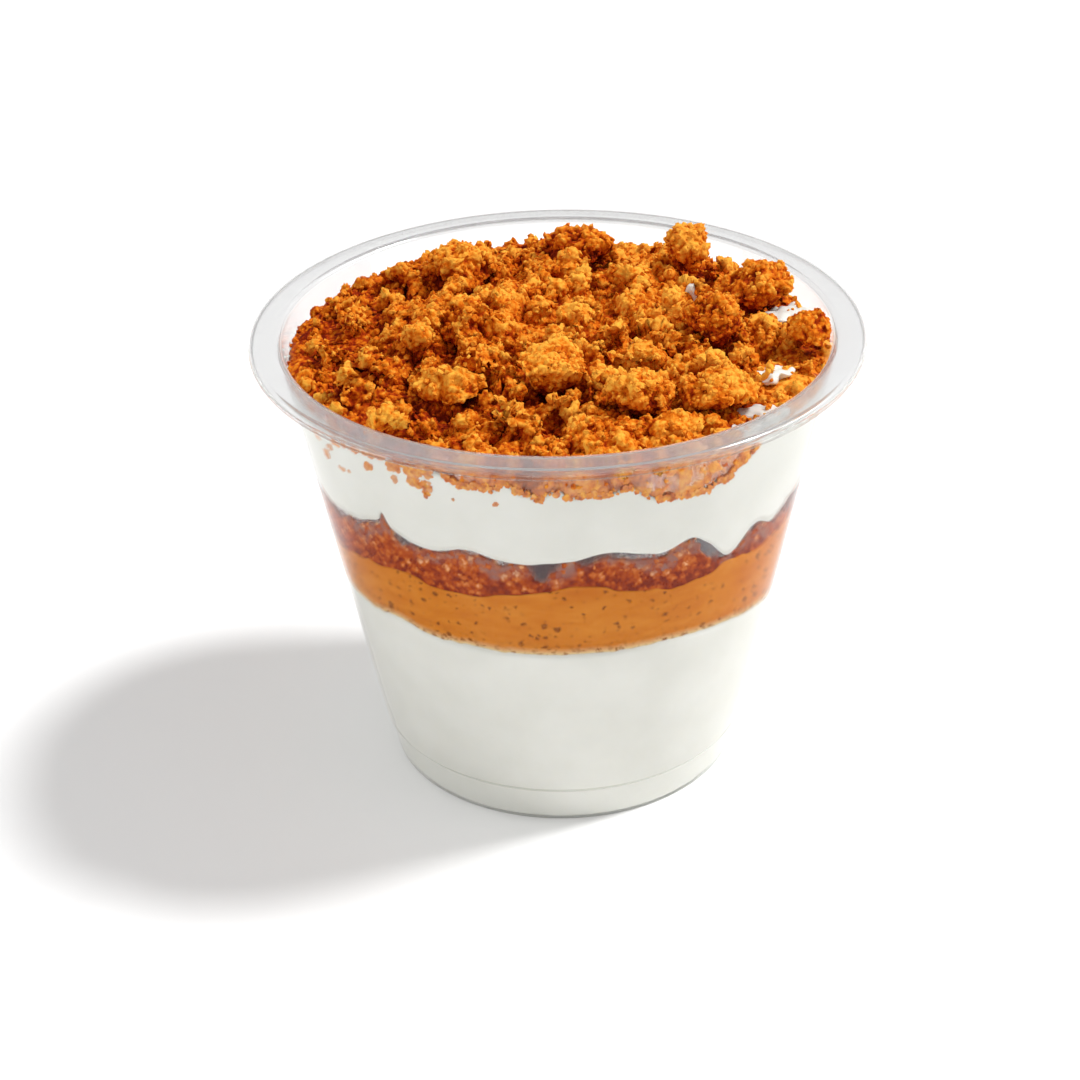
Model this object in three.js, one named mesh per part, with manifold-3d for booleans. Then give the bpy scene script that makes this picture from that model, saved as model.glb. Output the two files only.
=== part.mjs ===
import * as THREE from 'three';
import { mergeVertices } from 'three/addons/utils/BufferGeometryUtils.js';
import Module from 'manifold-3d';

// A layered cream dessert in a clear moulded cup, heaped with crumbled spiced biscuit.
// Millimetres, +Z up, the origin at the centre of the foot on the table.
// Angles run in degrees from the front (-Y), positive towards +X.

const wasm = await Module();
wasm.setup();

// ---- Driving dimensions ------------------------------------------------------------------

// Cup, moulded from one thin sheet
const CUP_HEIGHT = 73.5;
const RIM_RADIUS = 47.5; // 95 mm across the rolled rim, a common lid size
const WALL = 0.6;
const MOUTH_BEND = 1.2; // radius of the bend from the inner wall to the flat rim
const RIM_CURL = 1.05; // outer radius of the rolled edge
const CURL_END = -40; // degrees below level at which the rolled edge stops
const STEP_HEIGHT = 7.0; // stacking step, with the narrower foot below it
const STEP_RADIUS = 29.8;
const STEP_DEPTH = 0.7;
const TAPER = 0.2; // growth of the radius for each millimetre of height
const FOOT_RADIUS = 28.1;
const FOOT_BEND = 0.9;
const FOOT_RING_INNER = 24.6; // inner edge of the flat ring that the cup stands on
const PUNT_RADIUS = 22.4; // raised middle of the base
const PUNT_HEIGHT = 2.4;

// Contents, as heights up the wall
const BOTTOM_CREAM_LEVEL = 35.7;
const CARAMEL_LEVEL = 46.2;
const SOAKED_LEVEL = 53.3;
const TOP_CREAM_LEVEL = 69.2;
const HEAP_EDGE = 70.0; // core of the heap at the wall
const HEAP_CROWN = 73.6; // core of the heap in the middle
const GAP = 0.3; // clearance between neighbouring solids

// Facets
const CUP_SEGMENTS = 60;
const LAYER_SEGMENTS = 72;

// Crumbs fused on the heap
const CRUMB_COUNT = 92;
const CRUMB_SMALLEST = 6.4;
const CRUMB_LARGEST = 11.0;
const CRUMB_SEED = 11;
const BLOCKY_SHARE = 0.3; // share of the crumbs that broke into blocks
const CROWN_CRUMB_RISE = 3.6; // height of the crumbs above the core, in the middle of the heap
const FRONT_CRUMB_RISE = 2.6; // and where they meet the wall
const BACK_CRUMB_RISE = 0.9;

// Waves of each boundary at the wall: centre angle, height and half width of each swell
const BOTTOM_CREAM_WAVES = [
  { at: -66, height: -0.5, width: 8 },
  { at: -44, height: 0.9, width: 8 },
  { at: 78, height: -4.6, width: 28 },
  { at: 150, height: 1.3, width: 20 },
  { at: -150, height: -1.6, width: 24 },
];
const CARAMEL_WAVES = [
  { at: -66, height: -2.8, width: 10 },
  { at: -38, height: 0.9, width: 4 },
  { at: 4, height: 2.7, width: 12 },
  { at: 27.5, height: -0.7, width: 4 },
  { at: 42.5, height: 1.2, width: 5 },
  { at: 110, height: -1.8, width: 14 },
  { at: 165, height: 1.6, width: 12 },
  { at: -125, height: 1.4, width: 16 },
];
const SOAKED_WAVES = [
  { at: -64, height: -0.6, width: 8 },
  { at: -43, height: 2.2, width: 6 },
  { at: -20.5, height: 1.5, width: 6 },
  { at: 10, height: 1.8, width: 7.5 },
  { at: 29, height: 1.5, width: 4 },
  { at: 41.5, height: -4.6, width: 5.5 },
  { at: 57, height: -3.0, width: 6 },
  { at: 72, height: -1.8, width: 8 },
  { at: 100, height: 1.6, width: 9 },
  { at: 138, height: -2.2, width: 8 },
  { at: 172, height: 1.8, width: 9 },
  { at: -150, height: -1.8, width: 9 },
  { at: -112, height: 2.0, width: 10 },
];
const TOP_CREAM_WAVES = [
  { at: -8, height: -2.9, width: 26 },
  { at: 29, height: -5.6, width: 13 },
  { at: 90, height: 0.4, width: 20 },
  { at: 150, height: -3.2, width: 18 },
  { at: -140, height: -2.6, width: 20 },
];

// The largest pieces of biscuit: place of the middle, full size, turn about Z and tilt
const CHUNKS = [
  { name: 'centre', x: -0.4, y: -18.6, z: 75.0, size: [11.6, 9.4, 8.4], turn: 12, tilt: 16 },
  { name: 'mid_right', x: 11.6, y: -26.0, z: 74.2, size: [11.2, 9.6, 7.8], turn: -20, tilt: -10 },
  { name: 'front_right', x: 23.4, y: -24.2, z: 74.0, size: [12.4, 9.8, 7.6], turn: 34, tilt: 14 },
  { name: 'left_slab', x: -16.2, y: -20.2, z: 73.8, size: [12.0, 8.6, 6.4], turn: -14, tilt: -8 },
  { name: 'mid_left', x: -14.2, y: -1.4, z: 75.4, size: [9.4, 9.4, 8.6], turn: 40, tilt: 20 },
  { name: 'round', x: 23.8, y: -4.0, z: 75.6, size: [9.2, 9.0, 8.8], turn: 0, tilt: 0 },
  { name: 'far_right', x: 31.2, y: 9.2, z: 75.4, size: [12.8, 11.6, 8.6], turn: 24, tilt: -12 },
  { name: 'wall_cube', x: 38.4, y: -6.2, z: 74.6, size: [7.2, 7.0, 7.0], turn: 38, tilt: 24 },
  { name: 'back', x: 3.2, y: 25.6, z: 75.2, size: [12.8, 9.8, 8.0], turn: -8, tilt: 10 },
  { name: 'back_peak', x: 21.0, y: 22.6, z: 76.0, size: [9.2, 9.4, 8.4], turn: 30, tilt: -18 },
  { name: 'back_left', x: -14.6, y: 22.4, z: 74.6, size: [11.4, 9.2, 7.4], turn: 18, tilt: 8 },
];

// ---- Helpers -----------------------------------------------------------------------------

const radians = (degrees) => (degrees * Math.PI) / 180;

// Repeatable random numbers from 0 to 1
function seededRandom(seed) {
  let state = seed;
  return () => {
    state = (state + 0x6d2b79f5) | 0;
    let mixed = Math.imul(state ^ (state >>> 15), 1 | state);
    mixed = (mixed + Math.imul(mixed ^ (mixed >>> 7), 61 | mixed)) ^ mixed;
    return ((mixed ^ (mixed >>> 14)) >>> 0) / 4294967296;
  };
}

// Points of an arc in the profile plane, from one angle to another
function arc(centre, radius, fromDegrees, toDegrees, steps) {
  const points = [];
  for (let step = 0; step <= steps; step += 1) {
    const angle = radians(THREE.MathUtils.lerp(fromDegrees, toDegrees, step / steps));
    const r = centre.x + radius * Math.cos(angle);
    const z = centre.y + radius * Math.sin(angle);
    points.push(new THREE.Vector2(r, z));
  }
  return points;
}

// A level plus its swells, at an angle round the cup
function waveHeight(level, waves, degrees) {
  let height = level;
  for (const wave of waves) {
    const turns = (degrees - wave.at) / 360;
    const apart = 360 * (turns - Math.round(turns));
    height += wave.height * Math.exp(-((apart / wave.width) ** 2));
  }
  return height;
}

// Geometry with positions only and each shared vertex stored once
function welded(geometry) {
  const bare = new THREE.BufferGeometry();
  bare.setAttribute('position', geometry.getAttribute('position').clone());
  if (geometry.index) {
    bare.setIndex(geometry.index.clone());
  }
  return mergeVertices(bare, 1e-4);
}

// A closed solid from rings, listed from the bottom centre to the top centre.
// Each ring gives a radius and a height for an angle; both ends close on the axis.
function ringSolid(bottomCentre, rings, topCentre, segments) {
  const positions = [0, 0, bottomCentre];
  const indices = [];
  const firstRadii = rings.map((ring) => ring(0).r);
  for (const ring of rings) {
    for (let step = 0; step < segments; step += 1) {
      const degrees = (360 * step) / segments;
      const { r, z } = ring(degrees);
      positions.push(r * Math.sin(radians(degrees)), -r * Math.cos(radians(degrees)), z);
    }
  }
  positions.push(0, 0, topCentre);
  const top = positions.length / 3 - 1;
  const vertex = (ring, step) => 1 + ring * segments + (step % segments);
  for (let step = 0; step < segments; step += 1) {
    indices.push(0, vertex(0, step + 1), vertex(0, step));
    for (let ring = 0; ring < rings.length - 1; ring += 1) {
      const corners = [vertex(ring, step), vertex(ring, step + 1)];
      corners.push(vertex(ring + 1, step + 1), vertex(ring + 1, step));
      // The cut across each quad runs the same way on a face that widens as on one that narrows,
      // so the two faces of a boundary between layers stay parallel
      if (firstRadii[ring + 1] < firstRadii[ring]) {
        corners.push(corners.shift());
      }
      indices.push(corners[0], corners[1], corners[2], corners[0], corners[2], corners[3]);
    }
    indices.push(vertex(rings.length - 1, step), vertex(rings.length - 1, step + 1), top);
  }
  const geometry = new THREE.BufferGeometry();
  geometry.setAttribute('position', new THREE.Float32BufferAttribute(positions, 3));
  geometry.setIndex(indices);
  return geometry;
}

function toSolid(geometry) {
  const bare = welded(geometry);
  return new wasm.Manifold(
    new wasm.Mesh({
      numProp: 3,
      vertProperties: new Float32Array(bare.getAttribute('position').array),
      triVerts: new Uint32Array(bare.index.array),
    }),
  );
}

function fromSolid(solid) {
  const mesh = solid.getMesh();
  const geometry = new THREE.BufferGeometry();
  geometry.setAttribute('position', new THREE.BufferAttribute(mesh.vertProperties, 3));
  geometry.setIndex(new THREE.BufferAttribute(mesh.triVerts, 1));
  return geometry;
}

// The largest connected body of a solid, without loose scraps
function largestBody(solid) {
  const bodies = solid.decompose();
  bodies.sort((a, b) => b.volume() - a.volume());
  return bodies[0];
}

// ---- Cup ---------------------------------------------------------------------------------

const outerWallRadius = (z) => STEP_RADIUS + TAPER * (z - STEP_HEIGHT);
const innerWallRadius = (z) => outerWallRadius(z) - WALL * Math.hypot(1, TAPER);
const bendHeight = CUP_HEIGHT - MOUTH_BEND;
const bendCentre = new THREE.Vector2(innerWallRadius(bendHeight) + MOUTH_BEND, bendHeight);
const curlCentre = new THREE.Vector2(RIM_RADIUS - RIM_CURL, CUP_HEIGHT - RIM_CURL);
const footBendCentre = new THREE.Vector2(FOOT_RADIUS - FOOT_BEND, FOOT_BEND);
const footTopRadius = STEP_RADIUS - STEP_DEPTH;

// Inside of the cup below the mouth, from the middle of the base up to the stacking step
function innerFootProfile(inset) {
  const away = WALL + inset;
  return [
    new THREE.Vector2(PUNT_RADIUS - away, PUNT_HEIGHT + away),
    new THREE.Vector2(FOOT_RING_INNER, away),
    new THREE.Vector2(FOOT_RADIUS - FOOT_BEND - inset, away),
    new THREE.Vector2(FOOT_RADIUS - away, FOOT_BEND + inset),
    new THREE.Vector2(footTopRadius - away, STEP_HEIGHT - STEP_DEPTH),
    new THREE.Vector2(innerWallRadius(STEP_HEIGHT) - inset, STEP_HEIGHT + STEP_DEPTH),
  ];
}

function cupGeometry() {
  const profile = [
    new THREE.Vector2(0, PUNT_HEIGHT),
    new THREE.Vector2(PUNT_RADIUS, PUNT_HEIGHT),
    new THREE.Vector2(FOOT_RING_INNER, 0),
    ...arc(footBendCentre, FOOT_BEND, -90, 0, 2),
    new THREE.Vector2(footTopRadius, STEP_HEIGHT - STEP_DEPTH),
    new THREE.Vector2(STEP_RADIUS, STEP_HEIGHT),
    ...arc(bendCentre, MOUTH_BEND - WALL, 180, 90, 2),
    ...arc(curlCentre, RIM_CURL - WALL, 90, CURL_END, 2),
    ...arc(curlCentre, RIM_CURL, CURL_END, 0, 2),
    ...arc(curlCentre, RIM_CURL, 30, 90, 2),
    ...arc(bendCentre, MOUTH_BEND, 90, 180, 2),
    ...innerFootProfile(0).reverse(),
    new THREE.Vector2(0, PUNT_HEIGHT + WALL),
  ];
  const geometry = new THREE.LatheGeometry(profile, CUP_SEGMENTS);
  geometry.rotateX(Math.PI / 2);
  return geometry;
}

// ---- Cream and biscuit layers ------------------------------------------------------------

// Share of the wall's waves that is left at each inner ring of a layer's faces
const LAYER_RINGS = [{ reach: 0.65, share: 0.4 }];

// Rings of a layer's face from the middle to the wall
function faceRings(level, waves, offset) {
  const rings = LAYER_RINGS.map(({ reach, share }) => (degrees) => {
    const edge = waveHeight(level, waves, degrees);
    const z = THREE.MathUtils.lerp(level, edge, share) + offset;
    return { r: reach * innerWallRadius(z), z };
  });
  rings.push((degrees) => {
    const z = waveHeight(level, waves, degrees) + offset;
    return { r: innerWallRadius(z) - GAP, z };
  });
  return rings;
}

function bottomCreamGeometry() {
  const footRings = innerFootProfile(GAP).map((point) => () => ({ r: point.x, z: point.y }));
  const topRings = faceRings(BOTTOM_CREAM_LEVEL, BOTTOM_CREAM_WAVES, -GAP / 2).reverse();
  const floor = PUNT_HEIGHT + WALL + GAP;
  const topCentre = BOTTOM_CREAM_LEVEL - GAP / 2;
  return ringSolid(floor, [...footRings, ...topRings], topCentre, LAYER_SEGMENTS);
}

function layerGeometry(lowerLevel, lowerWaves, upperLevel, upperWaves) {
  const lowerRings = faceRings(lowerLevel, lowerWaves, GAP / 2);
  const upperRings = faceRings(upperLevel, upperWaves, -GAP / 2).reverse();
  const rings = [...lowerRings, ...upperRings];
  return ringSolid(lowerLevel + GAP / 2, rings, upperLevel - GAP / 2, LAYER_SEGMENTS);
}

// ---- Biscuit chunks ----------------------------------------------------------------------

const CHUNK_DETAIL = 1;
const CHUNK_BREAKS = 7; // flat broken faces on each chunk
const CHUNK_ROUGHNESS = 0.05;

// An angular broken piece: a rough ball of unit radius flattened by broken faces, then sized
function chunkGeometry(seed, size) {
  const random = seededRandom(seed);
  const geometry = welded(new THREE.IcosahedronGeometry(1, CHUNK_DETAIL));
  const breaks = [];
  for (let count = 0; count < CHUNK_BREAKS; count += 1) {
    const rise = 2 * random() - 1;
    const angle = 2 * Math.PI * random();
    const spread = Math.sqrt(1 - rise * rise);
    const normal = new THREE.Vector3(spread * Math.cos(angle), spread * Math.sin(angle), rise);
    breaks.push({ normal, depth: THREE.MathUtils.lerp(0.52, 0.82, random()) });
  }
  const position = geometry.getAttribute('position');
  const point = new THREE.Vector3();
  for (let index = 0; index < position.count; index += 1) {
    point.fromBufferAttribute(position, index);
    for (const { normal, depth } of breaks) {
      const beyond = point.dot(normal) - depth;
      if (beyond > 0) {
        point.addScaledVector(normal, -beyond);
      }
    }
    point.multiplyScalar(1 + CHUNK_ROUGHNESS * (2 * random() - 1));
    position.setXYZ(index, point.x, point.y, point.z);
  }
  geometry.computeBoundingBox();
  const extent = new THREE.Vector3();
  const middle = new THREE.Vector3();
  geometry.boundingBox.getSize(extent);
  geometry.boundingBox.getCenter(middle);
  geometry.translate(-middle.x, -middle.y, -middle.z);
  geometry.scale(size[0] / extent.x, size[1] / extent.y, size[2] / extent.z);
  return geometry;
}

function placeChunk(target, chunk) {
  target.rotation.set(radians(chunk.tilt), 0, radians(chunk.turn), 'ZYX');
  target.position.set(chunk.x, chunk.y, chunk.z);
  target.updateMatrixWorld();
}

// The space that a chunk needs, so that the heap closes round it with a small clearance
function chunkRoom(geometry, chunk) {
  const grow = 1 + (2.6 * GAP) / Math.min(...chunk.size);
  const room = geometry.clone();
  const holder = new THREE.Object3D();
  placeChunk(holder, chunk);
  room.scale(grow, grow, grow);
  room.applyMatrix4(holder.matrixWorld);
  return toSolid(room);
}

// ---- Crumb heap --------------------------------------------------------------------------

const HEAP_RADIUS = innerWallRadius(HEAP_EDGE) - GAP;
const MOUTH_SPACE_TOP = CUP_HEIGHT + 20;
const heapHeight = (r) => THREE.MathUtils.lerp(HEAP_CROWN, HEAP_EDGE, (r / HEAP_RADIUS) ** 2);

// The core lies on the cream and rises to a low dome
function heapCore() {
  const lowerRings = faceRings(TOP_CREAM_LEVEL, TOP_CREAM_WAVES, GAP / 2);
  const domeRings = [1, 0.55].map((reach) => () => {
    const r = reach * HEAP_RADIUS;
    return { r, z: heapHeight(r) };
  });
  const bottom = TOP_CREAM_LEVEL + GAP / 2;
  return toSolid(ringSolid(bottom, [...lowerRings, ...domeRings], HEAP_CROWN, LAYER_SEGMENTS));
}

// Everything above the cream and inside the mouth that the heap may fill
function mouthSpace() {
  const lowerRings = faceRings(TOP_CREAM_LEVEL, TOP_CREAM_WAVES, GAP / 2);
  const straight = innerWallRadius(bendHeight) - GAP;
  const upperRings = [bendHeight, MOUTH_SPACE_TOP].map((z) => () => ({ r: straight, z }));
  const rings = [...lowerRings, ...upperRings];
  return toSolid(ringSolid(TOP_CREAM_LEVEL + GAP / 2, rings, MOUTH_SPACE_TOP, LAYER_SEGMENTS));
}

// How far the crumbs stand above the core: most in the middle, least along the back wall
function crumbRise(x, y) {
  const towardsFront = THREE.MathUtils.smoothstep(-y, 0, 20);
  const edgeRise = THREE.MathUtils.lerp(BACK_CRUMB_RISE, FRONT_CRUMB_RISE, towardsFront);
  return THREE.MathUtils.lerp(CROWN_CRUMB_RISE, edgeRise, (Math.hypot(x, y) / HEAP_RADIUS) ** 2);
}

// Broken crumbs with few sides, spread evenly over the heap in a sunflower pattern
function heapCrumbs() {
  const random = seededRandom(CRUMB_SEED);
  const goldenAngle = Math.PI * (3 - Math.sqrt(5));
  const crumbs = [];
  for (let count = 0; count < CRUMB_COUNT; count += 1) {
    const r = HEAP_RADIUS * Math.sqrt((count + 0.5) / CRUMB_COUNT) + 1.6 * (random() - 0.5);
    const angle = count * goldenAngle + 0.12 * (random() - 0.5);
    const size = THREE.MathUtils.lerp(CRUMB_SMALLEST, CRUMB_LARGEST, random() ** 2);
    const shape = [size, size * (0.7 + 0.3 * random()), size * (0.65 + 0.3 * random())];
    const place = new THREE.Object3D();
    const x = r * Math.cos(angle);
    const y = r * Math.sin(angle);
    const top = heapHeight(r) + crumbRise(x, y) * (0.6 + 0.4 * random());
    place.position.set(x, y, top - 0.4 * size);
    place.rotation.set(2 * Math.PI * random(), 2 * Math.PI * random(), 0);
    place.updateMatrixWorld();
    const covered = CHUNKS.some((chunk) => Math.hypot(chunk.x - x, chunk.y - y) < 0.42 * chunk.size[0]);
    if (!covered) {
      crumbs.push(crumbGeometry(random, shape).applyMatrix4(place.matrixWorld));
    }
  }
  return crumbs;
}

// A block or a lump with its corners pushed about
function crumbGeometry(random, shape) {
  const block = random() < BLOCKY_SHARE;
  const plain = block ? new THREE.BoxGeometry(0.8, 0.8, 0.8) : new THREE.IcosahedronGeometry(0.5, 0);
  const geometry = welded(plain);
  const position = geometry.getAttribute('position');
  for (let index = 0; index < position.count; index += 1) {
    const push = 0.85 + 0.3 * random();
    position.setXYZ(
      index,
      position.getX(index) * push * shape[0],
      position.getY(index) * push * shape[1],
      position.getZ(index) * push * shape[2],
    );
  }
  return geometry;
}

// ---- The object --------------------------------------------------------------------------

function finish(color, roughness, options = {}) {
  return new THREE.MeshStandardMaterial({ color, roughness, metalness: 0, ...options });
}

const dessert = new THREE.Group();

function addPart(name, geometry, material) {
  const mesh = new THREE.Mesh(geometry, material);
  mesh.name = name;
  dessert.add(mesh);
  return mesh;
}

addPart('cup', cupGeometry(), finish(0xe8edef, 0.12, { transparent: true, opacity: 0.3 }));
addPart('cream_bottom', bottomCreamGeometry(), finish(0xf4f3ec, 0.45));
addPart(
  'caramel_cream',
  layerGeometry(BOTTOM_CREAM_LEVEL, BOTTOM_CREAM_WAVES, CARAMEL_LEVEL, CARAMEL_WAVES),
  finish(0xcf8040, 0.45),
);
addPart(
  'soaked_biscuit',
  layerGeometry(CARAMEL_LEVEL, CARAMEL_WAVES, SOAKED_LEVEL, SOAKED_WAVES),
  finish(0xa4562c, 0.6),
);
addPart(
  'cream_top',
  layerGeometry(SOAKED_LEVEL, SOAKED_WAVES, TOP_CREAM_LEVEL, TOP_CREAM_WAVES),
  finish(0xf6f5f0, 0.45),
);

let heap = heapCore();
for (const crumb of heapCrumbs()) {
  heap = heap.add(toSolid(crumb));
}
heap = heap.intersect(mouthSpace());
CHUNKS.forEach((chunk, index) => {
  const geometry = chunkGeometry(index + 1, chunk.size);
  heap = heap.subtract(chunkRoom(geometry, chunk));
  const mesh = addPart(`biscuit_chunk_${index + 1}`, geometry, finish(0xc4701f, 0.9));
  placeChunk(mesh, chunk);
});
addPart('crumb_topping', fromSolid(largestBody(heap)), finish(0xb9651c, 0.9));

export default dessert;
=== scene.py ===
import itertools
import math

import bmesh
import bpy
import numpy as np
from mathutils import Matrix, Vector


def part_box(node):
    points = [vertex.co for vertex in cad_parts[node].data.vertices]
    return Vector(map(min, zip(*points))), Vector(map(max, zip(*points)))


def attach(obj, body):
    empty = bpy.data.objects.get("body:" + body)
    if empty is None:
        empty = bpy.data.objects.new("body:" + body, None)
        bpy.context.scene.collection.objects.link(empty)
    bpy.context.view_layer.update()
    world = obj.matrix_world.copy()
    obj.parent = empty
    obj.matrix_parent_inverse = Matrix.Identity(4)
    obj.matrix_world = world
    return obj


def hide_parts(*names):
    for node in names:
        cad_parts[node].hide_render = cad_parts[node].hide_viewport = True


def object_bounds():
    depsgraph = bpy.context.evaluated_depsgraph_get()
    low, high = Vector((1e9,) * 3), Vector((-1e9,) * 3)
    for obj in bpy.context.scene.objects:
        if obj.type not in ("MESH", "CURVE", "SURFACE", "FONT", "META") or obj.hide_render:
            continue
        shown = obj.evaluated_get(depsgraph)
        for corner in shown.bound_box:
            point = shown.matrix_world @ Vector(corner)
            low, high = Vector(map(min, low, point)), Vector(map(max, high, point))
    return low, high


# A layered dessert in a clear thermoformed cup, heaped with crumbled spiced biscuit.
# Lengths are millimetres until a mesh is written, and heights are above the table.
# Angles round the cup run in degrees from the front (-Y) towards +X.

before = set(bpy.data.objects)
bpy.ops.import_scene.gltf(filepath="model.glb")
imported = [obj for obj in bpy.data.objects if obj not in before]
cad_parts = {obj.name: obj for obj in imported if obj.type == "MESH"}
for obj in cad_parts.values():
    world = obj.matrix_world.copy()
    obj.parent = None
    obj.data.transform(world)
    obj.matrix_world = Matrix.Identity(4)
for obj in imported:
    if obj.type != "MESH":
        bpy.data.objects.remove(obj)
cad_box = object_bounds()

MM = 0.001

# ---- Sizes ----

# Cup, as the solid has it
RIM_RADIUS, _, CUP_HEIGHT = np.array(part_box("cup")[1]) / MM
TOP = cad_box[1][2] / MM
WALL = 0.6
MOUTH_BEND = 1.2
RIM_CURL = 1.05
CURL_END = -40.0
STEP_HEIGHT = 7.0
STEP_RADIUS = 29.8
STEP_DEPTH = 0.7
TAPER = 0.2
FOOT_RADIUS = 28.1
FOOT_BEND = 0.9
FOOT_RING_INNER = 24.6
PUNT_RADIUS = 22.4
PUNT_HEIGHT = 2.4

# Levels of the layers up the wall, with the swells of each boundary: angle, height, half width
BOTTOM_CREAM_LEVEL = 35.7
BOTTOM_CREAM_WAVES = [
    (-66, -0.5, 8), (-44, 0.9, 8), (78, -4.6, 28), (150, 1.3, 20), (-150, -1.6, 24),
]
CARAMEL_LEVEL = 46.2
CARAMEL_WAVES = [
    (-66, -2.8, 10), (-38, 0.9, 4), (4, 2.7, 12), (27.5, -0.7, 4), (42.5, 1.2, 5),
    (110, -1.8, 14), (165, 1.6, 12), (-125, 1.4, 16),
]
SOAKED_LEVEL = 53.3
SOAKED_WAVES = [
    (-64, -0.6, 8), (-43, 2.2, 6), (-20.5, 1.5, 6), (10, 1.8, 7.5), (29, 1.5, 4),
    (41.5, -4.6, 5.5), (57, -3.0, 6), (72, -1.8, 8), (100, 1.6, 9), (138, -2.2, 8),
    (172, 1.8, 9), (-150, -1.8, 9), (-112, 2.0, 10),
]
SOAKED_PEAK = (-41.8, 2.2, 1.1)  # a thin spike of syrup up into the cream
TOP_CREAM_LEVEL = 69.2
TOP_CREAM_WAVES = [
    (-8, -2.9, 26), (29, -5.6, 13), (90, 0.4, 20), (150, -3.2, 18), (-140, -2.6, 20),
]
CRUMB_EDGE_WAVES = [  # where the crumbs hang lower or the cream stands higher than the solids
    (-23.5, 1.5, 3), (-10.8, 2.0, 1.6), (-4.3, -0.6, 1.2), (1.8, -0.5, 1.2), (9, -1.0, 4),
    (20, -0.7, 4), (38, -1.3, 5),
]

# How far each layer reaches into the wall, so that no air shows between them
FOOT_INTO_WALL = 0.35  # the sheet is drawn thinner there
CREAM_INTO_WALL = 0.10
SOAKED_INTO_WALL = 0.14
CARAMEL_INTO_WALL = 0.18
CREAM_LIP_INTO_WALL = 0.22
CRUMBS_INTO_WALL = 0.18
SMEARS_INTO_WALL = 0.28
LAYER_TUCK = 0.5  # each layer also runs this far under its neighbour

CARAMEL_THINNING = 1.2  # height over which the caramel thins out at its lower edge

# Hollows behind the wall at the top of the soaked layer: angle, height, half width
HOLLOW_DEPTH = 1.1  # how far back they go
HOLLOW_HEIGHT = 0.35
HOLLOW_WAVES = [
    (-62, 1.2, 4), (-4.2, 3.0, 2.4), (9, 0.5, 4), (16, 0.4, 3), (34.5, 1.9, 2.6), (-38, 0.9, 3),
    (66, 2.6, 5), (110, 1.6, 7), (-110, 1.4, 6), (160, 1.5, 5), (-155, 1.2, 5),
]

# Crumbs: the skins of the heap and of the larger pieces, and the relief on both
HEAP_VOXEL = 0.365
CHUNK_VOXEL = 0.25
CLUMP_SIZE, CLUMP_DEPTH = 7.0, 3.2
COARSE_GRAIN, COARSE_DEPTH = 1.9, 1.0
FINE_GRAIN, FINE_DEPTH = 0.95, 0.75
PRESSED_GROWTH = 0.6  # the heap grows this far, so that it presses on the wall
CALM_WIDTH = 0.8  # and its relief starts this far from the wall
CHUNK_RELIEF = (0.5, 0.8, 0.35)  # height of clumps, share of the whole, how far it is sunk

# Golden and pale at 1, red-brown at 0 or less, for each larger piece
CHUNK_TONES = (0.6, 0.3, 0.4, 0.5, 0.3, -0.8, -0.4, -1.1, -0.7, 0.0, 0.3)

# Lumps fused to the heap, then bits and grains that lie loose: how many, and sizes across
LUMP_COUNT = 200
LUMP_SIZES = (2.6, 6.6)
LUMP_REACH, LUMP_REACH_FRONT = 36.0, 40.5  # how near the wall lumps lie
BIT_COUNT = 380
BIT_SIZES = (1.5, 3.4)
GRAIN_COUNT = 9400
GRAIN_SIZES = (0.5, 1.5)
DENT_SIZE, DENT_DEPTH = 1.2, 0.35  # the depth as a share of the bit
CRUMBS_FROM = 66.0  # nothing is strewn lower than this

# Grid on which the height of the crumbs is averaged, how far round each point, in how many steps
# each way, and the height from the bottom of a gap to the top of a clump; from these, shade is
# painted deep between the clumps and light on their tops
LAY_CELL = 0.6
LAY_REACH = 3.6
LAY_STEPS = 14
LAY_SPAN = 5.2

# The tallest crumbs are eased in under the top of the solids
TOP_BAND = 1.0
TOP_EASE = 0.9

# Crumbs caught between the upper cream and the wall: from and to (angle, height), half height
# of the streak, number of grains, how far a film of cream covers them
SMEARS = [
    ((-61.5, 65.7), (-59.7, 65.7), 0.6, 9, 0.75), ((-58.8, 62.9), (-57.0, 63.6), 0.7, 14, 0.65),
    ((-56.5, 64.8), (-54.5, 65.4), 0.5, 9, 0.75), ((-53.5, 62.4), (-49.5, 62.8), 0.3, 8, 0.75),
    ((-54.0, 66.9), (-37.0, 68.5), 0.3, 60, 0.4), ((-43.3, 65.7), (-41.6, 65.7), 0.5, 16, 0.3),
    ((-36.8, 67.4), (-26.0, 68.0), 0.75, 100, 0.25), ((-31.5, 65.7), (-26.8, 65.6), 0.75, 50, 0.2),
    ((-36.2, 65.2), (-34.6, 65.0), 0.4, 9, 0.65), ((-28.7, 64.0), (-27.5, 63.9), 0.35, 12, 0.05),
    ((-13.1, 64.4), (-12.7, 64.2), 0.15, 3, 0.4), ((-22.2, 64.0), (-21.8, 64.0), 0.15, 2, 0.7),
    ((98.0, 67.5), (118.0, 66.6), 0.7, 70, 0.3), ((-96.0, 67.0), (-84.0, 67.6), 0.6, 50, 0.3),
    ((176.0, 66.8), (196.0, 67.4), 0.8, 70, 0.3),
]
EDGE_GRAINS = 260  # and along the front edge of the crumbs at the wall
EDGE_SPAN = (-24, 44)  # degrees
SMEAR_SIZES = (0.5, 1.0)  # smallest, and how much larger they get

# Cream left showing between the crumbs: place, size across, size up
CREAM_SHOWING = [
    ((21.4, 12.2, 72.8), 2.6, 3.8), ((35.6, 3.8, 71.8), 8.6, 2.8), ((32.6, -13.6, 71.1), 5.0, 1.6),
    ((30.6, -26.5, 70.6), 7.0, 2.0), ((26.6, -31.0, 70.2), 5.6, 1.8),
]
CREAM_CLEARANCE = 1.6  # lumps and bits keep this far off it
GRAINS_ON_CREAM = 0.25  # share of the grains that fall on it

# ---- Camera, as the photo was taken ----

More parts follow.
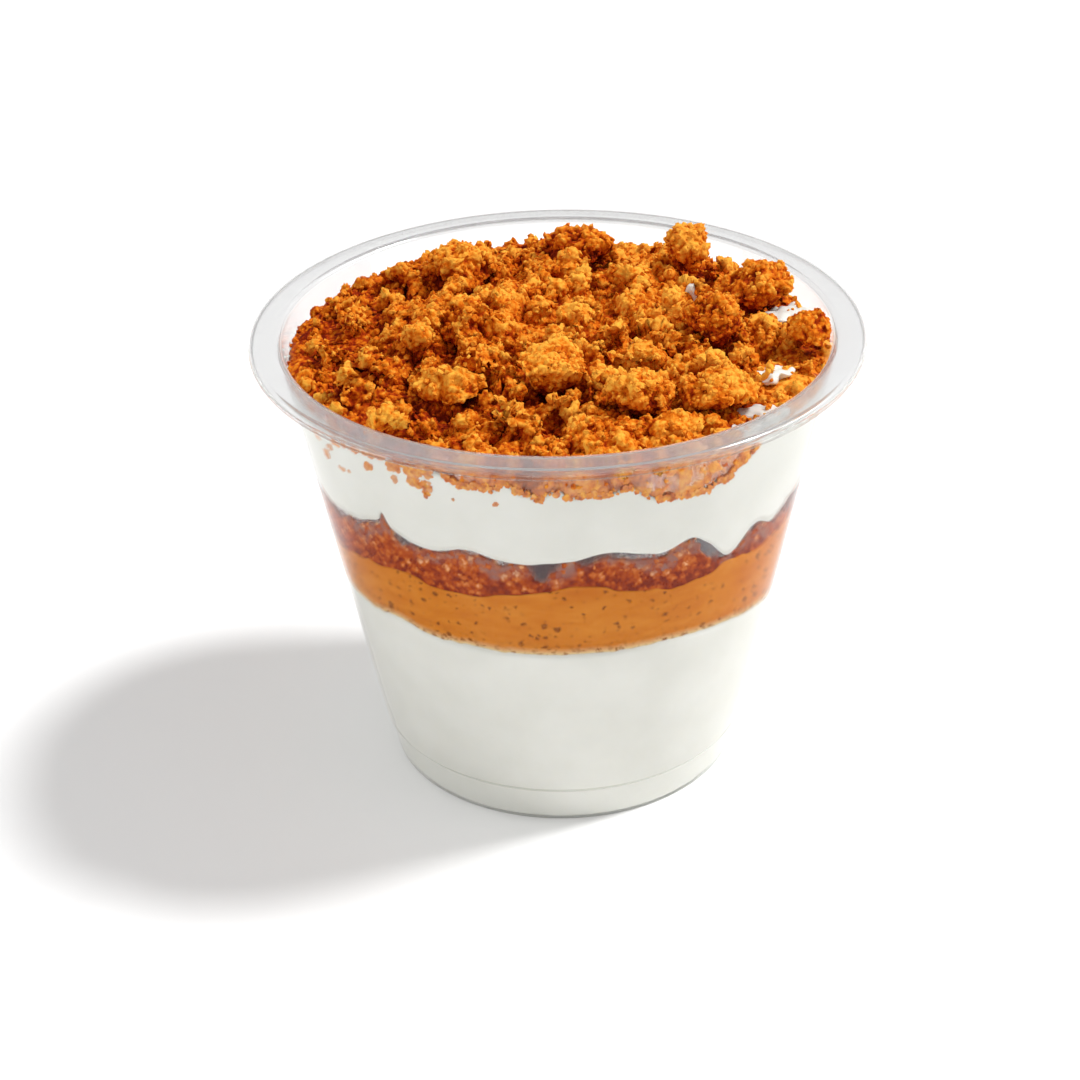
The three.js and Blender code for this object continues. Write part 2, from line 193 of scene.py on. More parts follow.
CAMERA_ELEVATION = 29.76
CAMERA_DISTANCE = 405.7
CAMERA_AIM_HEIGHT = 36.0
CAMERA_ROLL = -1.0
FOCAL_PIXELS = 2512.9
FRAME_PIXELS = 1080
AIM_PIXEL = (560.75, 536.2)  # where the aim point lies in the photo
SENSOR = 36.0


def make_camera():
    camera = bpy.data.objects.new("camera", bpy.data.cameras.new("camera"))
    bpy.context.scene.collection.objects.link(camera)
    bpy.context.scene.camera = camera
    camera.data.sensor_width = SENSOR
    camera.data.lens = SENSOR * FOCAL_PIXELS / FRAME_PIXELS
    camera.data.clip_start = 0.01
    camera.data.clip_end = 20.0
    elevation = math.radians(CAMERA_ELEVATION)
    back = Vector((0.0, -math.cos(elevation), math.sin(elevation)))
    position = Vector((0.0, 0.0, CAMERA_AIM_HEIGHT)) + CAMERA_DISTANCE * back
    yaw = math.atan((AIM_PIXEL[0] - FRAME_PIXELS / 2) / FOCAL_PIXELS)
    pitch = math.atan((AIM_PIXEL[1] - FRAME_PIXELS / 2) / FOCAL_PIXELS)
    turn = Matrix.Rotation(math.pi / 2 - elevation, 4, "X")
    turn = turn @ Matrix.Rotation(math.radians(CAMERA_ROLL), 4, "Z")
    turn = turn @ Matrix.Rotation(yaw, 4, "Y") @ Matrix.Rotation(pitch, 4, "X")
    camera.matrix_world = Matrix.Translation(position * MM) @ turn


# ---- Repeatable noise ----

def random_at(cells, seed):
    """A number from 0 to 1 for each whole-numbered cell, the same on every run."""
    mixed = cells[..., 0] * 73856093 + cells[..., 1] * 19349663
    mixed = mixed + cells[..., 2] * 83492791 + seed * 6542989
    mixed = mixed.astype(np.uint64)
    for factor in (0xFF51AFD7ED558CCD, 0xC4CEB9FE1A85EC53):
        mixed = (mixed ^ (mixed >> np.uint64(33))) * np.uint64(factor)
    return ((mixed ^ (mixed >> np.uint64(33))) >> np.uint64(11)) / float(1 << 53)


def soft_noise(points, size, seed):
    """Smooth lumps about `size` across, from -1 to 1."""
    scaled = points / size
    cells = np.floor(scaled).astype(np.int64)
    part = scaled - cells
    part = part * part * (3 - 2 * part)
    total = np.zeros(len(points))
    for corner in itertools.product((0, 1), repeat=3):
        weight = np.prod(np.where(corner, part, 1 - part), axis=1)
        total += weight * random_at(cells + np.array(corner), seed)
    return 2 * total - 1


def grain_noise(points, size, seed):
    """How far each point is from the nearest grain's middle, in grains, and the grain's number."""
    scaled = points / size
    cells = np.floor(scaled).astype(np.int64)
    nearest = np.full(len(points), 9.0)
    number = np.zeros(len(points))
    for step in itertools.product((-1, 0, 1), repeat=3):
        near = cells + np.array(step)
        middle = near + np.stack([random_at(near, seed + axis) for axis in range(3)], axis=1)
        distance = np.linalg.norm(scaled - middle, axis=1)
        closer = distance < nearest
        nearest = np.where(closer, distance, nearest)
        number = np.where(closer, random_at(near, seed + 3), number)
    return nearest, number


# ---- Meshes ----

def make_mesh(name, vertices, faces):
    """A mesh from vertices in its own units and face arrays, each of one corner count."""
    mesh = bpy.data.meshes.new(name)
    corners = np.concatenate([group.ravel() for group in faces]).astype(np.int32)
    totals = np.concatenate([np.full(len(group), group.shape[1]) for group in faces])
    starts = np.concatenate([[0], np.cumsum(totals)[:-1]]).astype(np.int32)
    mesh.vertices.add(len(vertices))
    mesh.vertices.foreach_set("co", np.asarray(vertices, np.float32).ravel())
    mesh.loops.add(len(corners))
    mesh.loops.foreach_set("vertex_index", corners)
    mesh.polygons.add(len(totals))
    mesh.polygons.foreach_set("loop_start", starts)
    mesh.polygons.foreach_set("loop_total", totals.astype(np.int32))
    mesh.update(calc_edges=True)
    mesh.validate()
    return mesh


def read_mesh(mesh):
    """Vertices, triangles and vertex normals of a mesh."""
    mesh.calc_loop_triangles()
    vertices = np.zeros(len(mesh.vertices) * 3)
    triangles = np.zeros(len(mesh.loop_triangles) * 3, np.int32)
    normals = np.zeros(len(mesh.vertices) * 3)
    mesh.vertices.foreach_get("co", vertices)
    mesh.loop_triangles.foreach_get("vertices", triangles)
    mesh.vertex_normals.foreach_get("vector", normals)
    return vertices.reshape(-1, 3), triangles.reshape(-1, 3), normals.reshape(-1, 3)


def node_solid(node):
    """Vertices in millimetres and triangles of a CAD node."""
    vertices, triangles, _ = read_mesh(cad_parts[node].data)
    return vertices / MM, triangles


def remeshed(vertices, triangles, voxel):
    """One even skin round everything given, with its normals."""
    mesh = make_mesh("rough", vertices, [triangles])
    holder = bpy.data.objects.new("rough", mesh)
    bpy.context.scene.collection.objects.link(holder)
    remesh = holder.modifiers.new("skin", "REMESH")
    remesh.mode = "VOXEL"
    remesh.voxel_size = voxel
    graph = bpy.context.evaluated_depsgraph_get()
    made = read_mesh(holder.evaluated_get(graph).to_mesh())
    bpy.data.objects.remove(holder)
    bpy.data.meshes.remove(mesh)
    return made


def trimmed(vertices, faces, marks):
    """Drops the points that no face uses any more."""
    used = np.unique(faces)
    renumbered = np.zeros(len(vertices), int)
    renumbered[used] = np.arange(len(used))
    return vertices[used], renumbered[faces], {name: mark[used] for name, mark in marks.items()}


def place(name, vertices, faces, material, nodes=(), marks=None):
    """A finished piece, in metres, that rides on the cup and may stand for CAD nodes."""
    mesh = make_mesh(name, np.asarray(vertices) * MM, faces)
    for mark, values in (marks or {}).items():
        attribute = mesh.attributes.new(mark, "FLOAT", "POINT")
        attribute.data.foreach_set("value", np.asarray(values, np.float32))
    mesh.polygons.foreach_set("use_smooth", np.ones(len(mesh.polygons), bool))
    mesh.materials.append(material)
    piece = bpy.data.objects.new(name, mesh)
    bpy.context.scene.collection.objects.link(piece)
    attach(piece, "root")
    if nodes:
        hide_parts(*nodes)
    return piece


def ring_solid(rings, bottom, top):
    """A closed body from rings of (radii, heights), bottom first, closed on the axis."""
    columns = len(rings[0][0])
    angles = 2 * np.pi * np.arange(columns) / columns
    vertices = [np.array([[0.0, 0.0, bottom]])]
    for radii, heights in rings:
        ring = np.stack([radii * np.sin(angles), -radii * np.cos(angles), heights], axis=1)
        vertices.append(ring)
    vertices.append(np.array([[0.0, 0.0, top]]))
    here = np.arange(columns)
    after = (here + 1) % columns
    quads = []
    for row in range(len(rings) - 1):
        low, high = 1 + row * columns, 1 + (row + 1) * columns
        quads.append(np.stack([low + here, low + after, high + after, high + here], axis=1))
    last = 1 + (len(rings) - 1) * columns
    apex = last + columns
    caps = [
        np.stack([np.zeros(columns, int), 1 + after, 1 + here], axis=1),
        np.stack([last + here, last + after, np.full(columns, apex)], axis=1),
    ]
    return np.concatenate(vertices), [np.concatenate(quads), np.concatenate(caps)]


# ---- Materials ----

# Food pressed on plastic has almost no surface of its own to shine
PRESSED_SHINE = 0.08


def linear(code, alpha=1.0):
    """An sRGB hex colour as linear numbers."""
    values = [int(code[at:at + 2], 16) / 255 for at in (0, 2, 4)]
    made = [v / 12.92 if v <= 0.04045 else ((v + 0.055) / 1.055) ** 2.4 for v in values]
    return (*made, alpha)


def add(tree, kind, inputs=None, **settings):
    """A node with its settings; each input is a value, or a socket to link from."""
    node = tree.nodes.new(kind)
    for key, value in settings.items():
        setattr(node, key, value)
    for socket, value in (inputs or {}).items():
        if isinstance(value, bpy.types.NodeSocket):
            tree.links.new(value, node.inputs[socket])
        else:
            node.inputs[socket].default_value = value
    return node


def new_material(name):
    """An empty material with its output node."""
    material = bpy.data.materials.new(name)
    material.use_nodes = True
    tree = material.node_tree
    tree.nodes.clear()
    return material, tree, add(tree, "ShaderNodeOutputMaterial")


def ramp(tree, factor, stops):
    """A colour ramp from (position, hex) stops; its colour socket."""
    node = add(tree, "ShaderNodeValToRGB", {"Fac": factor})
    elements = node.color_ramp.elements
    for index, (position, code) in enumerate(stops):
        element = elements[index] if index < 2 else elements.new(position)
        element.position = position
        element.color = linear(code)
    return node.outputs["Color"]


def object_points(tree):
    return add(tree, "ShaderNodeTexCoord").outputs["Object"]


def per_metre(size):
    """Texture scale for a pattern whose repeat is `size` millimetres."""
    return 1000.0 / size


def noise(tree, points, size, detail, roughness=0.5):
    """Soft lumps `size` millimetres across, from 0 to 1."""
    return add(tree, "ShaderNodeTexNoise", {
        "Vector": points, "Scale": per_metre(size), "Detail": detail, "Roughness": roughness,
    }).outputs["Fac"]


def bent_points(tree, points, size, reach):
    """The points moved about by noise `size` millimetres across, up to `reach` millimetres."""
    wobble = add(tree, "ShaderNodeTexNoise", {
        "Vector": points, "Scale": per_metre(size), "Detail": 2.0,
    })
    return add(tree, "ShaderNodeVectorMath", {
        0: wobble.outputs["Color"], 1: (reach * MM,) * 3, 2: points,
    }, operation="MULTIPLY_ADD").outputs[0]


def weighted(tree, *parts):
    """The sum of (socket, weight) parts."""
    total = 0.0
    for socket, weight in parts:
        total = add(tree, "ShaderNodeMath", {
            0: socket, 1: weight, 2: total,
        }, operation="MULTIPLY_ADD").outputs[0]
    return total


def combined(tree, operation, first, second):
    """One number from two."""
    return add(tree, "ShaderNodeMath", {0: first, 1: second}, operation=operation).outputs[0]


def mapped(tree, value, low, high, start=0.0, end=1.0):
    """A value between `low` and `high` taken to between `start` and `end`, and held there."""
    return add(tree, "ShaderNodeMapRange", {
        "Value": value, "From Min": low, "From Max": high, "To Min": start, "To Max": end,
    }).outputs[0]


def blended(tree, factor, first, second):
    """The first colour, with as much of the second as the factor says."""
    return add(tree, "ShaderNodeMix", {
        "Factor": factor, "A": first, "B": second,
    }, data_type="RGBA").outputs["Result"]


def marks_of(tree, *names):
    """The numbers that the points of a mesh carry under these names."""
    return [
        add(tree, "ShaderNodeAttribute", attribute_name=name).outputs["Fac"] for name in names
    ]


def pit_shade_mask(tree, points, size, left_out):
    """Small round spots in a share of the cells, `size` millimetres apart, painted dark as the
    shade of pits.
    """
    spots = add(tree, "ShaderNodeTexVoronoi", {"Vector": points, "Scale": per_metre(size)})
    chosen = add(tree, "ShaderNodeSeparateColor", {"Color": spots.outputs["Color"]})
    reach = mapped(tree, chosen.outputs["Red"], left_out, 1.0, -0.1, 0.42)
    inside = combined(tree, "SUBTRACT", reach, spots.outputs["Distance"])
    return mapped(tree, inside, -0.08, 0.12)


def clear_pet(name, tint, roughness, haze, straight):
    """Clear PET sheet, vacuum formed: hard, glossy and colourless, hazy grey where it is rolled at
    the rim, and greyer at the stacking step, as painted shade for the dark line its fold shows.

    The sheet is thin. Seen squarely, most light goes straight through it, and at a glancing angle
    it shines more. All that the food scatters goes through.
    """
    material, tree, output = new_material(name)
    shell = add(tree, "ShaderNodeBsdfPrincipled", {
        "Base Color": linear(tint),
        "Roughness": roughness,
        "IOR": 1.5,
        "Specular IOR Level": 0.12,
        "Transmission Weight": 1.0 - haze,
    })
    passing = add(tree, "ShaderNodeBsdfTransparent", {"Color": linear("FAFAFA")})
    view = add(tree, "ShaderNodeLayerWeight", {"Blend": 0.5})
    through = mapped(tree, view.outputs["Facing"], 0.55, 0.95, straight, 0.1 * straight)
    path = add(tree, "ShaderNodeLightPath")
    soft = combined(tree, "MAXIMUM", path.outputs["Is Shadow Ray"], path.outputs["Is Diffuse Ray"])
    mixed = add(tree, "ShaderNodeMixShader", {
        0: combined(tree, "MAXIMUM", soft, through), 1: shell.outputs[0], 2: passing.outputs[0],
    })
    tree.links.new(mixed.outputs[0], output.inputs["Surface"])
    return material


def whipped_cream():
    """Sweetened cream cheese, spooned: smooth, moist, a warm white that lets some light in."""
    material, tree, output = new_material("cream_cheese_spooned")
    points = object_points(tree)
    colour = ramp(tree, noise(tree, points, 9.0, 3.0), [(0.3, "DDDDD5"), (0.7, "E4E4DD")])
    bump = add(tree, "ShaderNodeBump", {
        "Height": noise(tree, points, 2.2, 2.0), "Strength": 0.25, "Distance": 0.2 * MM,
    })
    body = add(tree, "ShaderNodeBsdfPrincipled", {
        "Base Color": colour,
        "Roughness": 0.38,
        "IOR": 1.45,
        "Subsurface Weight": 0.3,
        "Subsurface Radius": (1.0, 0.9, 0.75),
        "Subsurface Scale": 1.2 * MM,
        "Normal": bump.outputs["Normal"],
    })
    tree.links.new(body.outputs[0], output.inputs["Surface"])
    return material


def caramel_cream():
    """Caramel whipped into cream, poured: even tan, with drawn-out lighter streaks, and small pits
    shown only as dark spots of painted shade.

    It thins out pale and flecked towards its lower edge.
    """
    material, tree, output = new_material("caramel_cream_poured")
    points = object_points(tree)
    (edge,) = marks_of(tree, "edge")
    drawn = add(tree, "ShaderNodeMapping", {"Vector": points, "Scale": (1.0, 1.0, 3.0)})
    clouds = noise(tree, drawn.outputs[0], 9.0, 8.0, 0.68)
    colour = ramp(tree, clouds, [(0.3, "C0680E"), (0.5, "CA7618"), (0.7, "D4862A")])
    thinned = blended(tree, mapped(tree, edge, 0.3, 0.95), colour, linear("D8C090"))
    bent = bent_points(tree, points, 0.6, 1.3)
    flat = add(tree, "ShaderNodeMapping", {"Vector": bent, "Scale": (1.0, 1.0, 1.35)})
    # dark spots painted as the shade of small pits; the mesh has no pits
    pit_shades = [pit_shade_mask(tree, flat.outputs[0], *pit) for pit in ((1.8, 0.5), (1.0, 0.6))]
    flecks = mapped(tree, noise(tree, points, 0.9, 3.0), 0.5, 0.64, 0.0, 0.9)
    along = combined(tree, "MULTIPLY", edge, flecks)
    spots = combined(tree, "MAXIMUM", combined(tree, "MAXIMUM", *pit_shades), along)
    body = add(tree, "ShaderNodeBsdfPrincipled", {
        "Base Color": blended(tree, spots, thinned, linear("88480C")),
        "Roughness": 0.4,
        "IOR": 1.45,
        "Specular IOR Level": PRESSED_SHINE,
    })
    tree.links.new(body.outputs[0], output.inputs["Surface"])
    return material


def soaked_crumb():
    """Biscuit soaked in syrup, pressed in: wet red-brown below, orange grains and syrup above.

    A greyish film of syrup and cream lies on its upper part, and its hollows are painted dark as
    shade.
    """
    material, tree, output = new_material("biscuit_soaked_pressed")
    points = object_points(tree)
    level, hollow, film, deep = marks_of(tree, "level", "hollow", "film", "deep")
    grains = add(tree, "ShaderNodeTexVoronoi", {
        "Vector": bent_points(tree, points, 0.5, 1.3), "Scale": per_metre(0.95),
    })
    grain = add(tree, "ShaderNodeSeparateColor", {"Color": grains.outputs["Color"]})
    # lightness of each grain, with painted shade darkening its border where it meets the next
    light = weighted(
        tree, (grain.outputs["Red"], 0.55), (noise(tree, points, 1.8, 4.0, 0.6), 0.8),
        (level, 0.3), (grains.outputs["Distance"], -0.45), (deep, -0.1),
    )
    colour = ramp(tree, light, [
        (0.28, "782000"), (0.48, "9C3802"), (0.68, "B65008"), (0.86, "CA7230"), (1.0, "E2A876"),
    ])
    between = mapped(tree, grain.outputs["Green"], 0.95, 0.2, 0.0, 0.9)
    filmed = blended(tree, combined(tree, "MULTIPLY", between, film), colour, linear("92685E"))
    body = add(tree, "ShaderNodeBsdfPrincipled", {
        # the hollows behind the wall painted dark as shade
        "Base Color": blended(tree, hollow, filmed, linear("44262E")),
        "Roughness": 0.42,
        "IOR": 1.45,
        "Specular IOR Level": PRESSED_SHINE,
    })
    tree.links.new(body.outputs[0], output.inputs["Surface"])
    return material


def baked_crumb():
    """Spiced biscuit, baked and crumbled: dry, open-grained, red-brown to golden at random in its
    grains, with painted light on crests and clump tops and painted shade in hollows and gaps.

    Crumbs pressed on the wall are dulled by a film of cream.
    """
    material, tree, output = new_material("spiced_biscuit_crumbled")
    points = object_points(tree)
    crest_shade_and_tone, shade_between_clumps, tone, film = marks_of(tree, "crest_shade_and_tone", "clump_shade", "tone", "film")
    pores = add(tree, "ShaderNodeTexVoronoi", {"Vector": points, "Scale": per_metre(0.8)})
    grit = noise(tree, points, 0.9, 4.0, 0.62)
    relief = weighted(tree, (grit, 1.0), (pores.outputs["Distance"], -0.35))
    # painted light and shade: lighter on the crests of the relief and on the tops of clumps, darker
    # in the relief's hollows and deep between the clumps
    light = weighted(tree, (relief, 0.92), (crest_shade_and_tone, 0.22), (shade_between_clumps, 0.39), (tone, 0.22))
    colour = ramp(tree, light, [
        (0.37, "661200"), (0.53, "A43400"), (0.72, "D8700C"), (1.0, "F6B040"),
    ])
    bump = add(tree, "ShaderNodeBump", {
        "Height": relief, "Strength": 1.0, "Distance": 0.28 * MM,
    })
    body = add(tree, "ShaderNodeBsdfPrincipled", {
        "Base Color": blended(tree, film, colour, linear("DCAE8C")),
        "Roughness": 0.85,
        "IOR": 1.4,
        "Specular IOR Level": 0.12,
        "Normal": bump.outputs["Normal"],
    })
    tree.links.new(body.outputs[0], output.inputs["Surface"])
    return material


# ---- Cup ----

def outer_wall(height):
    return STEP_RADIUS + TAPER * (height - STEP_HEIGHT)


def inner_wall(height):
    return outer_wall(height) - WALL * math.hypot(1, TAPER)


BEND_HEIGHT = CUP_HEIGHT - MOUTH_BEND
BEND_CENTRE = (inner_wall(BEND_HEIGHT) + MOUTH_BEND, BEND_HEIGHT)
CURL_CENTRE = (RIM_RADIUS - RIM_CURL, CUP_HEIGHT - RIM_CURL)
FOOT_TOP_RADIUS = STEP_RADIUS - STEP_DEPTH


def arc(centre, radius, start, end, steps):
    angles = np.radians(np.linspace(start, end, steps + 1))
    return [(centre[0] + radius * math.cos(a), centre[1] + radius * math.sin(a)) for a in angles]


def inner_foot(into, into_above):
    """Inside of the cup from the raised middle up to the stacking step, moved into the wall."""
    away = WALL - into
    return [
        (PUNT_RADIUS - away, PUNT_HEIGHT + away),
        (FOOT_RING_INNER, away),
        (FOOT_RADIUS - FOOT_BEND, away),
        (FOOT_RADIUS - away, FOOT_BEND),
        (FOOT_TOP_RADIUS - away, STEP_HEIGHT - STEP_DEPTH),
        (inner_wall(STEP_HEIGHT) + into_above, STEP_HEIGHT + STEP_DEPTH),
    ]


def rounded(points, radius, steps):
    """A profile with each inner corner turned into a small curve."""
    made = [points[0]]
    for before, corner, after in zip(points, points[1:], points[2:]):
        here = np.array(corner)
        lengths = [np.linalg.norm(np.array(p) - here) for p in (before, after)]
        cut = min(radius, 0.45 * min(lengths))
        start = here + (np.array(before) - here) * cut / lengths[0]
        end = here + (np.array(after) - here) * cut / lengths[1]
        for share in np.linspace(0, 1, steps + 1):
            curve = (1 - share) ** 2 * start + 2 * share * (1 - share) * here + share**2 * end
            made.append(tuple(curve))
    made.append(points[-1])
    return made


# Name, tint, roughness, haze and share of light that goes straight through, seen squarely
PET_LOOKS = [
    ("clear_pet_sheet_formed", "F7F7F6", 0.02, 0.0, 0.75),
    ("clear_pet_rim_rolled", "DEDEDE", 0.12, 0.12, 0.0),
    # the step's grey tint and haze paint the shade of the dark line at its fold
    ("clear_pet_step_painted_shade", "C4C4BA", 0.2, 0.3, 0.0),
]


def cup_piece():
    outside = [
        (PUNT_RADIUS, PUNT_HEIGHT),
        (FOOT_RING_INNER, 0.0),
        *arc((FOOT_RADIUS - FOOT_BEND, FOOT_BEND), FOOT_BEND, -90, 0, 6),
        (FOOT_TOP_RADIUS, STEP_HEIGHT - STEP_DEPTH),
        (STEP_RADIUS, STEP_HEIGHT),
        (outer_wall(2 * STEP_HEIGHT), 2 * STEP_HEIGHT),
    ]
    inside = [(inner_wall(2 * STEP_HEIGHT), 2 * STEP_HEIGHT), *inner_foot(0.0, 0.0)[::-1]]
    lip = [
        *arc(BEND_CENTRE, MOUTH_BEND - WALL, 180, 90, 6),
        *arc(CURL_CENTRE, RIM_CURL - WALL, 90, CURL_END, 12),
        *arc(CURL_CENTRE, RIM_CURL, CURL_END, 90, 18),
        *arc(BEND_CENTRE, MOUTH_BEND, 90, 180, 10),
    ]
    profile = rounded(outside, 0.25, 3) + lip + rounded(inside, 0.25, 3)
    columns = 288
    rings = [(np.full(columns, r), np.full(columns, z)) for r, z in profile]
    vertices, faces = ring_solid(rings, PUNT_HEIGHT, PUNT_HEIGHT + WALL)
    sheet, rim, step = (clear_pet(*looks) for looks in PET_LOOKS)
    piece = place("cup_clear", vertices, faces, sheet, ["cup"])
    piece.data.materials.append(rim)
    piece.data.materials.append(step)
    for polygon in piece.data.polygons:
        height = polygon.center.z / MM
        if height > BEND_HEIGHT + 0.3:
            polygon.material_index = 1
        elif abs(height - STEP_HEIGHT) < STEP_DEPTH:
            polygon.material_index = 2
    return piece


# ---- Layers ----

def wave(level, waves, degrees):
    """Height of a boundary at the wall."""
    total = np.full(len(degrees), float(level))
    for at, height, width in waves:
        apart = (degrees - at + 180) % 360 - 180
        total += height * np.exp(-((apart / width) ** 2))
    return total


def wall_place(degrees, height, into=0.0):
    """Points on the inside of the wall, moved into it."""
    angles = np.radians(degrees)
    radius = inner_wall(height) + into
    return np.stack([radius * np.sin(angles), -radius * np.cos(angles), height], axis=1)


def from_wall(points):
    """How far each point is from the wall's inside."""
    return inner_wall(points[:, 2]) - np.linalg.norm(points[:, :2], axis=1)


def soft_step(values, span):
    """From 0 to 1 over a span, and halfway where the value is zero."""
    return np.clip(values / span + 0.5, 0, 1)


def ragged(degrees, height, size, depth, seed):
    """Small unevenness of an edge, from noise in true millimetres round the wall."""
    return depth * soft_noise(wall_place(degrees, np.full(len(degrees), height)), size, seed)


def soaked_edge(degrees):
    """Height at the wall where the soaked layer ends, with its one spike."""
    return wave(SOAKED_LEVEL, SOAKED_WAVES + [SOAKED_PEAK], degrees)


def round_the_cup(columns):
    return np.degrees(2 * np.pi * np.arange(columns) / columns)


# Where the rings of a layer's face lie, as shares of the way out to the wall
FACE_REACHES = (0.3, 0.6, 0.82, 0.93)


def face_rings(level, edge, into):
    """Rings of a layer's face from near the axis out to the wall."""
    rings = []
    for reach in FACE_REACHES:
        height = level + (edge - level) * reach**2
        rings.append((reach * inner_wall(height), height))
    rings.append((inner_wall(edge) + into, edge))
    return rings


def side_rings(lower, upper, into, rows):
    """Rings up the wall between two edges."""
    rings = []
    for share in np.linspace(0, 1, rows + 2)[1:-1]:
        height = lower + (upper - lower) * share
        rings.append((inner_wall(height) + into, height))
    return rings


def bottom_cream_piece(cream):
    degrees = round_the_cup(360)
    edge = wave(BOTTOM_CREAM_LEVEL, BOTTOM_CREAM_WAVES, degrees) + LAYER_TUCK
    inside = [(0.0, PUNT_HEIGHT + WALL), *inner_foot(FOOT_INTO_WALL, CREAM_INTO_WALL)]
    foot = rounded(inside, 0.3, 2)[1:]
    rings = [(np.full(len(degrees), r), np.full(len(degrees), z)) for r, z in foot]
    start = np.full(len(degrees), STEP_HEIGHT + STEP_DEPTH)
    rings += side_rings(start, edge, CREAM_INTO_WALL, 14)
    rings += face_rings(BOTTOM_CREAM_LEVEL, edge, CREAM_INTO_WALL)[::-1]
    floor = PUNT_HEIGHT + WALL - FOOT_INTO_WALL
    vertices, faces = ring_solid(rings, floor, BOTTOM_CREAM_LEVEL)
    return place("cream_bottom_fine", vertices, faces, cream, ["cream_bottom"])


def caramel_piece():
    degrees = round_the_cup(720)
    lower = wave(BOTTOM_CREAM_LEVEL, BOTTOM_CREAM_WAVES, degrees)
    lower += ragged(degrees, BOTTOM_CREAM_LEVEL, 4.0, 0.2, 31)
    lower += ragged(degrees, BOTTOM_CREAM_LEVEL, 1.1, 0.22, 32)
    upper = wave(CARAMEL_LEVEL, CARAMEL_WAVES, degrees)
    swells = ragged(degrees, CARAMEL_LEVEL, 4.5, 0.5, 33)
    upper += swells + ragged(degrees, CARAMEL_LEVEL, 1.6, 0.35, 34)
    rings = face_rings(BOTTOM_CREAM_LEVEL, lower, CARAMEL_INTO_WALL)
    rows = 40
    first = len(rings) * len(degrees) + 1
    rings += side_rings(lower, upper, CARAMEL_INTO_WALL, rows)
    rings += face_rings(CARAMEL_LEVEL, upper, CARAMEL_INTO_WALL)[::-1]
    vertices, faces = ring_solid(rings, BOTTOM_CREAM_LEVEL, CARAMEL_LEVEL)
    edge = np.zeros(len(vertices))
    edge[1:first] = 1
    side = slice(first, first + rows * len(degrees))
    edge[side] = np.exp(-(vertices[side, 2] - np.tile(lower, rows)) / CARAMEL_THINNING)
    return place(
        "caramel_cream_fine", vertices, faces, caramel_cream(),
        ["caramel_cream"], {"edge": edge},
    )


def soaked_piece():
    """Grains pressed against the wall, with hollows behind it near the top."""
    degrees = round_the_cup(760)
    lower = wave(CARAMEL_LEVEL, CARAMEL_WAVES, degrees) - LAYER_TUCK
    upper = soaked_edge(degrees) + LAYER_TUCK
    rows = 30
    rings = face_rings(CARAMEL_LEVEL, lower, 0.0)
    first = 1 + len(rings) * len(degrees)
    rings += side_rings(lower, upper, SOAKED_INTO_WALL, rows)
    rings += face_rings(SOAKED_LEVEL, upper, 0.0)[::-1]
    vertices, faces = ring_solid(rings, CARAMEL_LEVEL, SOAKED_LEVEL)
    side = slice(first, first + rows * len(degrees))
    points = vertices[side]
    level = np.repeat(np.linspace(0, 1, rows + 2)[1:-1], len(degrees))
    below = np.tile(upper - LAYER_TUCK, rows) - points[:, 2]
    hollow = np.tile(wave(HOLLOW_HEIGHT, HOLLOW_WAVES, degrees), rows)
    hollow += 0.8 * soft_noise(points, 1.7, 41) + 0.6 * soft_noise(points, 0.8, 42)
    sunk = soft_step(hollow - below, 0.45)
    away = points[:, :2] / np.linalg.norm(points[:, :2], axis=1)[:, None]
    vertices[side, :2] -= away * (HOLLOW_DEPTH * sunk)[:, None]
    above = points[:, 2] - np.tile(lower + LAYER_TUCK, rows)
    patchy = soft_noise(points, 5.0, 43)
    grainy = soft_noise(points, 1.4, 47)
    marks = {name: np.zeros(len(vertices)) for name in ("level", "hollow", "film", "deep")}
    marks["level"][side] = level
    # how far back the wall is left, also used to paint the hollows' shade
    marks["hollow"][side] = sunk
    marks["film"][side] = soft_step(2.9 + 1.9 * patchy + 0.9 * grainy - below, 1.8)
    marks["deep"][side] = soft_step(0.5 - 1.4 * patchy + grainy - above, 1.4)
    return place(
        "soaked_biscuit_fine", vertices, faces, soaked_crumb(),
        ["soaked_biscuit"], marks,
    )


def crumb_edge(degrees):
    """Height at the wall where the cream ends and the crumbs start."""
    edge = wave(TOP_CREAM_LEVEL, TOP_CREAM_WAVES + CRUMB_EDGE_WAVES, degrees)
    edge += ragged(degrees, TOP_CREAM_LEVEL, 3.0, 0.4, 52)
    edge += ragged(degrees, TOP_CREAM_LEVEL, 1.3, 0.45, 53)
    return np.minimum(edge, TOP_CREAM_LEVEL + 0.3)


def cream_height(points):
    """Height of the upper cream's top under each point."""
    edge = crumb_edge(np.degrees(np.arctan2(points[:, 0], -points[:, 1])))
    reach = np.linalg.norm(points[:, :2], axis=1) / inner_wall(TOP_CREAM_LEVEL)
    return TOP_CREAM_LEVEL + (edge - TOP_CREAM_LEVEL) * reach**2


def top_cream_piece(cream):
    degrees = round_the_cup(480)
    lower = soaked_edge(degrees) + ragged(degrees, SOAKED_LEVEL, 2.4, 0.18, 51)
    upper = crumb_edge(degrees)
    rings = face_rings(SOAKED_LEVEL, lower, CREAM_LIP_INTO_WALL)
    rings += side_rings(lower, upper, CREAM_LIP_INTO_WALL, 14)
    rings += face_rings(TOP_CREAM_LEVEL, upper, CREAM_LIP_INTO_WALL)[::-1]
    vertices, faces = ring_solid(rings, SOAKED_LEVEL, TOP_CREAM_LEVEL)
    return place("cream_top_fine", vertices, faces, cream, ["cream_top"])


# ---- Crumbs ----

def ball(detail):
    """Vertices of unit radius and triangles of an icosahedral ball."""
    shape = bmesh.new()
    bmesh.ops.create_icosphere(shape, subdivisions=detail, radius=1.0)
    vertices = np.array([v.co for v in shape.verts])
    triangles = np.array([[v.index for v in f.verts] for f in shape.faces])
    shape.free()
    return vertices, triangles


